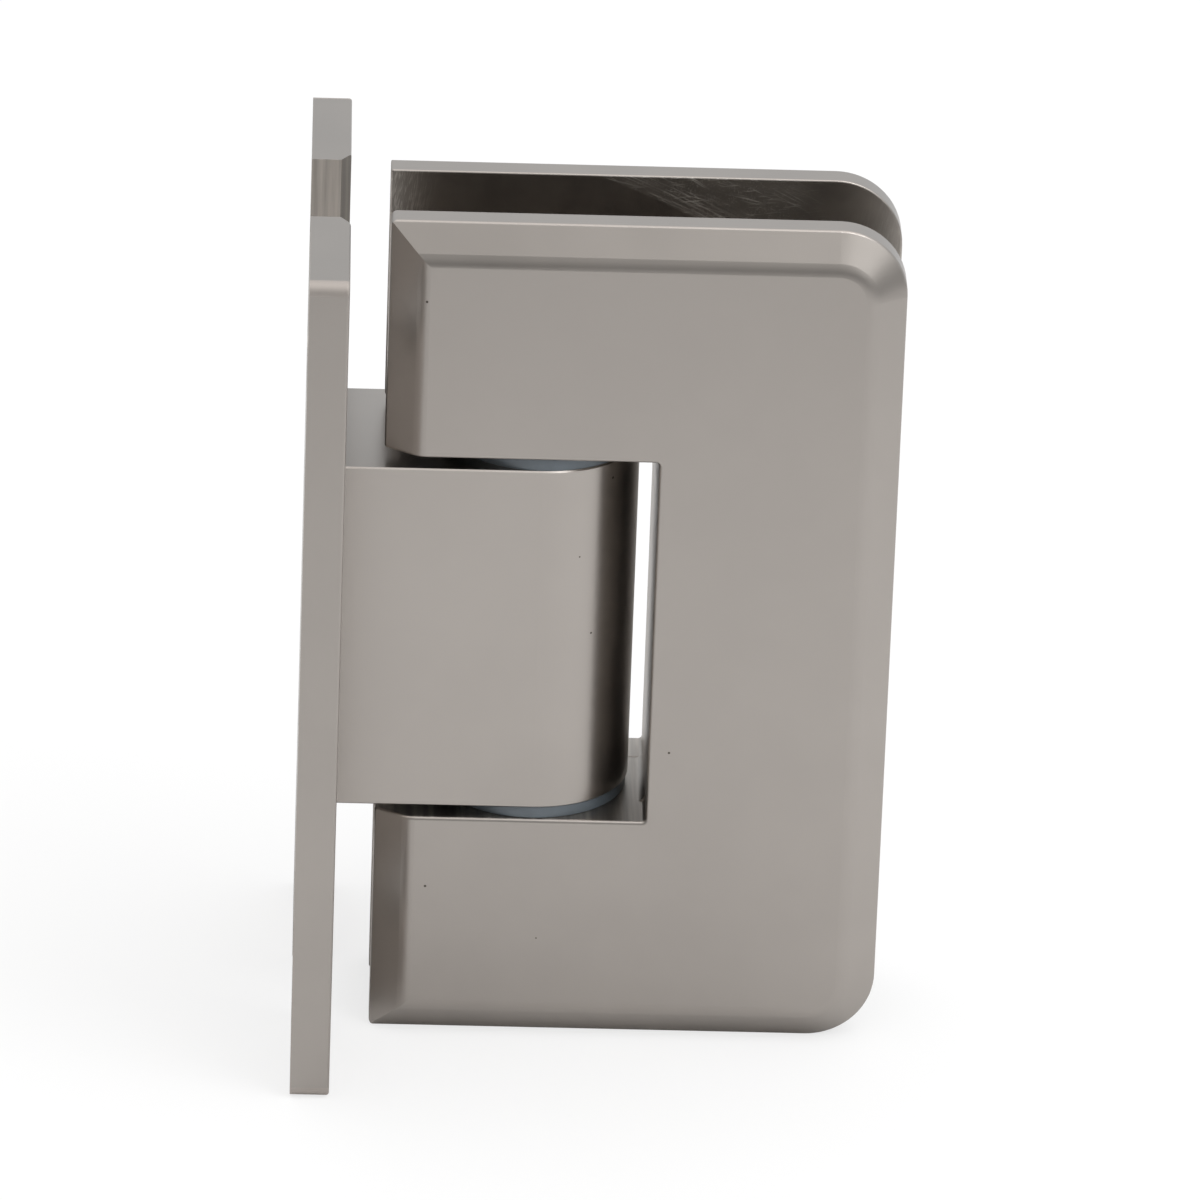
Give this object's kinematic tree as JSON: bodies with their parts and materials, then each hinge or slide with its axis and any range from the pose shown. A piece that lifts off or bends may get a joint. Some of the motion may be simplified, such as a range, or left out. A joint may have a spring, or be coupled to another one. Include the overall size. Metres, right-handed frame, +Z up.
{
  "type": "shower door hinge",
  "caption": "Wall-to-glass shower door hinge: an H-shaped wall plate, a round-nosed pivot block and a bevelled glass clamp that swings on a steel pin with a sprung detent bar.",
  "frame": {"origin": "middle of the wall plate's back face, where it meets the wall", "axes": "+X out of the wall into the room, +Y along the wall towards the rear clamp plate, +Z up along the pivot pin"},
  "size_m": [0.06, 0.05, 0.09],
  "materials": {
    "nickelled_brass": "solid brass, satin nickel plated, fine ground grain",
    "steel": "plain turned stainless steel",
    "spring_steel": "drawn spring wire",
    "washer_plastic": "blue-grey nylon",
    "bush_plastic": "natural acetal",
    "bar_plastic": "black acetal"
  },
  "bodies": {
    "wall_side": {"wall_plate": "nickelled_brass", "pivot_block": "nickelled_brass", "block_screws": "steel", "upper_bush": "bush_plastic", "lower_bush": "bush_plastic", "upper_washer": "washer_plastic", "lower_washer": "washer_plastic", "detent_spring_1": "spring_steel", "detent_spring_2": "spring_steel", "detent_spring_3": "spring_steel"},
    "detent_slider": {"detent_bar": "bar_plastic"},
    "door_leaf": {"front_clamp_plate": "nickelled_brass", "rear_clamp_plate": "nickelled_brass", "pivot_pin": "steel", "clamp_screws": "steel"}
  },
  "joints": [
    {"name": "leaf_swing", "type": "hinge", "parent": "wall_side", "child": "door_leaf", "pos_m": [0.024, 0, 0], "axis": [0, 0, 1], "range_deg": [-90, 90]},
    {"name": "detent_travel", "type": "slide", "parent": "wall_side", "child": "detent_slider", "axis": [1, 0, 0], "range_m": [0, 0.0006], "stiffness_N_per_m": 100, "springref_m": 0.004, "deforming": ["detent_spring_1", "detent_spring_2", "detent_spring_3"]}
  ]
}
